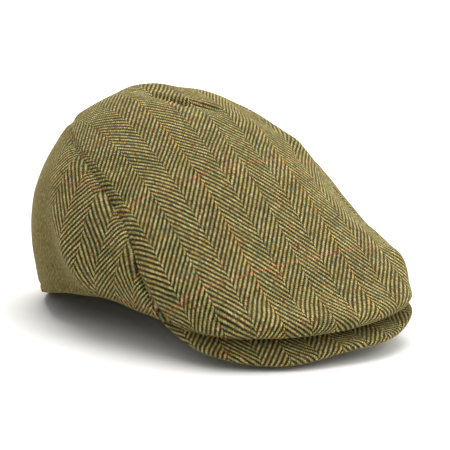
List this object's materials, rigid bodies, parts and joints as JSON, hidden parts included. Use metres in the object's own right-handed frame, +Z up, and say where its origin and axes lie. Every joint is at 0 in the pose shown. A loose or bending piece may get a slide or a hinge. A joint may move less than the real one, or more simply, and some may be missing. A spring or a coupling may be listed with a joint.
{
  "type": "flat cap",
  "caption": "Tweed flat cap: a long top panel and two crescent side panels sewn to a short stiff peak, hollow and open below.",
  "frame": {"origin": "centre of the bounding box, on the surface that the cap rests on", "axes": "+Z up, -Y forwards where the peak is, +X to the wearer's left"},
  "size_m": [0.2018, 0.229, 0.1258],
  "materials": {
    "tweed": "olive and brown herringbone wool tweed with a thin orange and dark red overcheck",
    "peak_tweed": "the same herringbone wool tweed, drawn smooth over a stiff board"
  },
  "bodies": {
    "root": {"top_panel": "tweed", "side_panel_right": "tweed", "side_panel_left": "tweed", "peak": "peak_tweed"}
  },
  "joints": []
}
